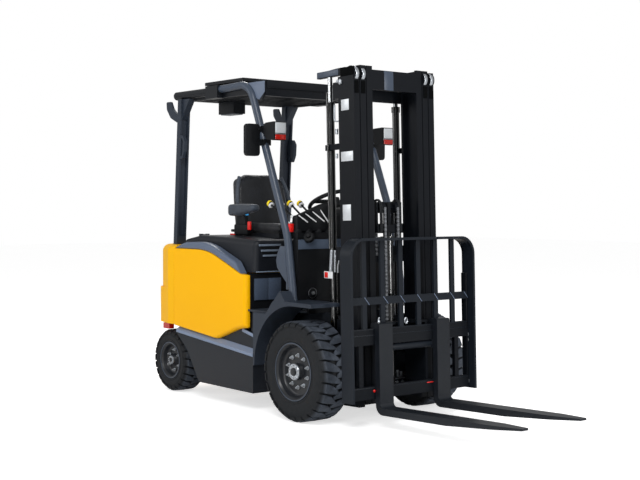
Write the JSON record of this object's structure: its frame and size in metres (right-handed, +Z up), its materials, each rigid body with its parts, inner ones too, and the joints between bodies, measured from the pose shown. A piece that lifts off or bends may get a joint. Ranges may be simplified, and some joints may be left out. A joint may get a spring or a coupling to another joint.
{
  "type": "electric counterbalance forklift",
  "caption": "Four-wheel electric counterbalance forklift with overhead guard, three-stage mast, fork carriage and load backrest.",
  "frame": {"origin": "middle of the bounding box on the ground", "axes": "+X forward to the fork tips, +Y to the operator's left, +Z up"},
  "size_m": [3.3813, 1.1812, 2.163],
  "materials": {
    "frame_paint": "semi-gloss paint",
    "grey_paint": "semi-gloss paint",
    "yellow_paint": "gloss paint",
    "iron": "painted casting",
    "battery_case": "matte paint",
    "moulding": "grained moulding",
    "mast_paint": "semi-gloss paint",
    "polished_rod": "polished",
    "chain_steel": "oiled steel",
    "rubber": "tread rubber",
    "rim_paint": "satin paint",
    "cloth": "woven cloth",
    "lens": "lens in a dark shell"
  },
  "bodies": {
    "chassis": {"chassis_frame": "frame_paint", "battery_block": "battery_case", "counterweight": "iron", "side_covers": "yellow_paint", "belt_trims": "grey_paint", "fenders": "grey_paint", "floor_plate": "frame_paint", "seat_box_front": "moulding", "cowl": "moulding", "drive_axle": "frame_paint", "steer_axle": "frame_paint", "hood_hinges": "frame_paint", "guard_rear_legs": "grey_paint", "guard_front_legs": "grey_paint", "guard_roof": "frame_paint", "headlamps": "lens", "mirrors": "moulding", "rear_lamps": "lens", "steering_column": "moulding", "levers": "moulding"},
    "hood": {"hood": "moulding", "seat_cushion": "cloth", "seat_back": "cloth", "armrest": "cloth"},
    "steering_wheel": {"steering_wheel": "moulding"},
    "wheel_front_right": {"front_tyre_right": "rubber", "front_rim_right": "rim_paint"},
    "wheel_front_left": {"front_tyre_left": "rubber", "front_rim_left": "rim_paint"},
    "knuckle_right": {"knuckle_right": "frame_paint"},
    "knuckle_left": {"knuckle_left": "frame_paint"},
    "wheel_rear_right": {"rear_tyre_right": "rubber", "rear_rim_right": "rim_paint"},
    "wheel_rear_left": {"rear_tyre_left": "rubber", "rear_rim_left": "rim_paint"},
    "mast_outer": {"mast_outer": "mast_paint", "lift_barrels": "mast_paint"},
    "mast_middle": {"mast_middle": "mast_paint", "lift_rods": "polished_rod"},
    "mast_inner": {"mast_inner": "mast_paint", "free_lift_barrel": "mast_paint", "chain_back_runs": "chain_steel"},
    "lift_yoke": {"free_lift_rod": "mast_paint"},
    "carriage": {"carriage": "mast_paint", "load_backrest": "mast_paint", "forks": "mast_paint", "chain_front_runs": "chain_steel"},
    "tilt_barrels": {"tilt_barrels": "mast_paint"},
    "tilt_rods": {"tilt_rods": "polished_rod"}
  },
  "joints": [
    {"name": "front_right_roll", "type": "hinge", "parent": "chassis", "child": "wheel_front_right", "pos_m": [0.145, -0.477, 0.309], "axis": [0, 1, 0], "continuous": true},
    {"name": "front_left_roll", "type": "hinge", "parent": "chassis", "child": "wheel_front_left", "pos_m": [0.145, 0.477, 0.309], "axis": [0, 1, 0], "continuous": true},
    {"name": "steer_right", "type": "hinge", "parent": "chassis", "child": "knuckle_right", "pos_m": [-1.363, -0.3, 0.22], "axis": [0, 0, 1], "range_deg": [-75, 75]},
    {"name": "steer_left", "type": "hinge", "parent": "chassis", "child": "knuckle_left", "pos_m": [-1.363, 0.3, 0.22], "axis": [0, 0, 1], "range_deg": [-75, 75]},
    {"name": "rear_right_roll", "type": "hinge", "parent": "knuckle_right", "child": "wheel_rear_right", "pos_m": [-1.363, -0.448, 0.22], "axis": [0, 1, 0], "continuous": true},
    {"name": "rear_left_roll", "type": "hinge", "parent": "knuckle_left", "child": "wheel_rear_left", "pos_m": [-1.363, 0.448, 0.22], "axis": [0, 1, 0], "continuous": true},
    {"name": "steering_turn", "type": "hinge", "parent": "chassis", "child": "steering_wheel", "pos_m": [-0.187, 0, 1.345], "axis": [-0.4226, 0, 0.9063], "range_deg": [-600, 600]},
    {"name": "hood_open", "type": "hinge", "parent": "chassis", "child": "hood", "pos_m": [-1.251, 0, 1.1], "axis": [0, -1, 0], "range_deg": [0, 75]},
    {"name": "mast_tilt", "type": "hinge", "parent": "chassis", "child": "mast_outer", "pos_m": [0.145, 0, 0.309], "axis": [0, 1, 0], "range_deg": [-8.1, 7.9]},
    {"name": "middle_lift", "type": "slide", "parent": "mast_outer", "child": "mast_middle", "axis": [-0.0332, 0, 0.9995], "range_m": [0, 1.45]},
    {"name": "inner_lift", "type": "slide", "parent": "mast_middle", "child": "mast_inner", "axis": [-0.0332, 0, 0.9995], "range_m": [0, 1.45]},
    {"name": "free_lift", "type": "slide", "parent": "mast_inner", "child": "lift_yoke", "axis": [-0.0332, 0, 0.9995], "range_m": [-0.025, 0.65], "deforming": ["chain_back_runs"]},
    {"name": "carriage_lift", "type": "slide", "parent": "lift_yoke", "child": "carriage", "axis": [-0.0332, 0, 0.9995], "range_m": [-0.025, 0.65], "deforming": ["chain_front_runs"]},
    {"name": "tilt_barrel_swing", "type": "hinge", "parent": "chassis", "child": "tilt_barrels", "pos_m": [-0.193, 0, 0.545], "axis": [0, 1, 0], "range_deg": [-1.8, 1.8]},
    {"name": "tilt_rod_slide", "type": "slide", "parent": "tilt_barrels", "child": "tilt_rods", "axis": [1, 0, 0], "range_m": [-0.034, 0.034]}
  ],
  "couplings": [
    {"joint": "steer_left", "follows": "steer_right", "ratio": 1},
    {"joint": "steering_turn", "follows": "steer_right", "ratio": -8},
    {"joint": "inner_lift", "follows": "middle_lift", "ratio": 1},
    {"joint": "carriage_lift", "follows": "free_lift", "ratio": 1},
    {"joint": "tilt_barrel_swing", "follows": "mast_tilt", "ratio": 0.2066},
    {"joint": "tilt_rod_slide", "follows": "mast_tilt", "m_per_rad": 0.2355}
  ]
}
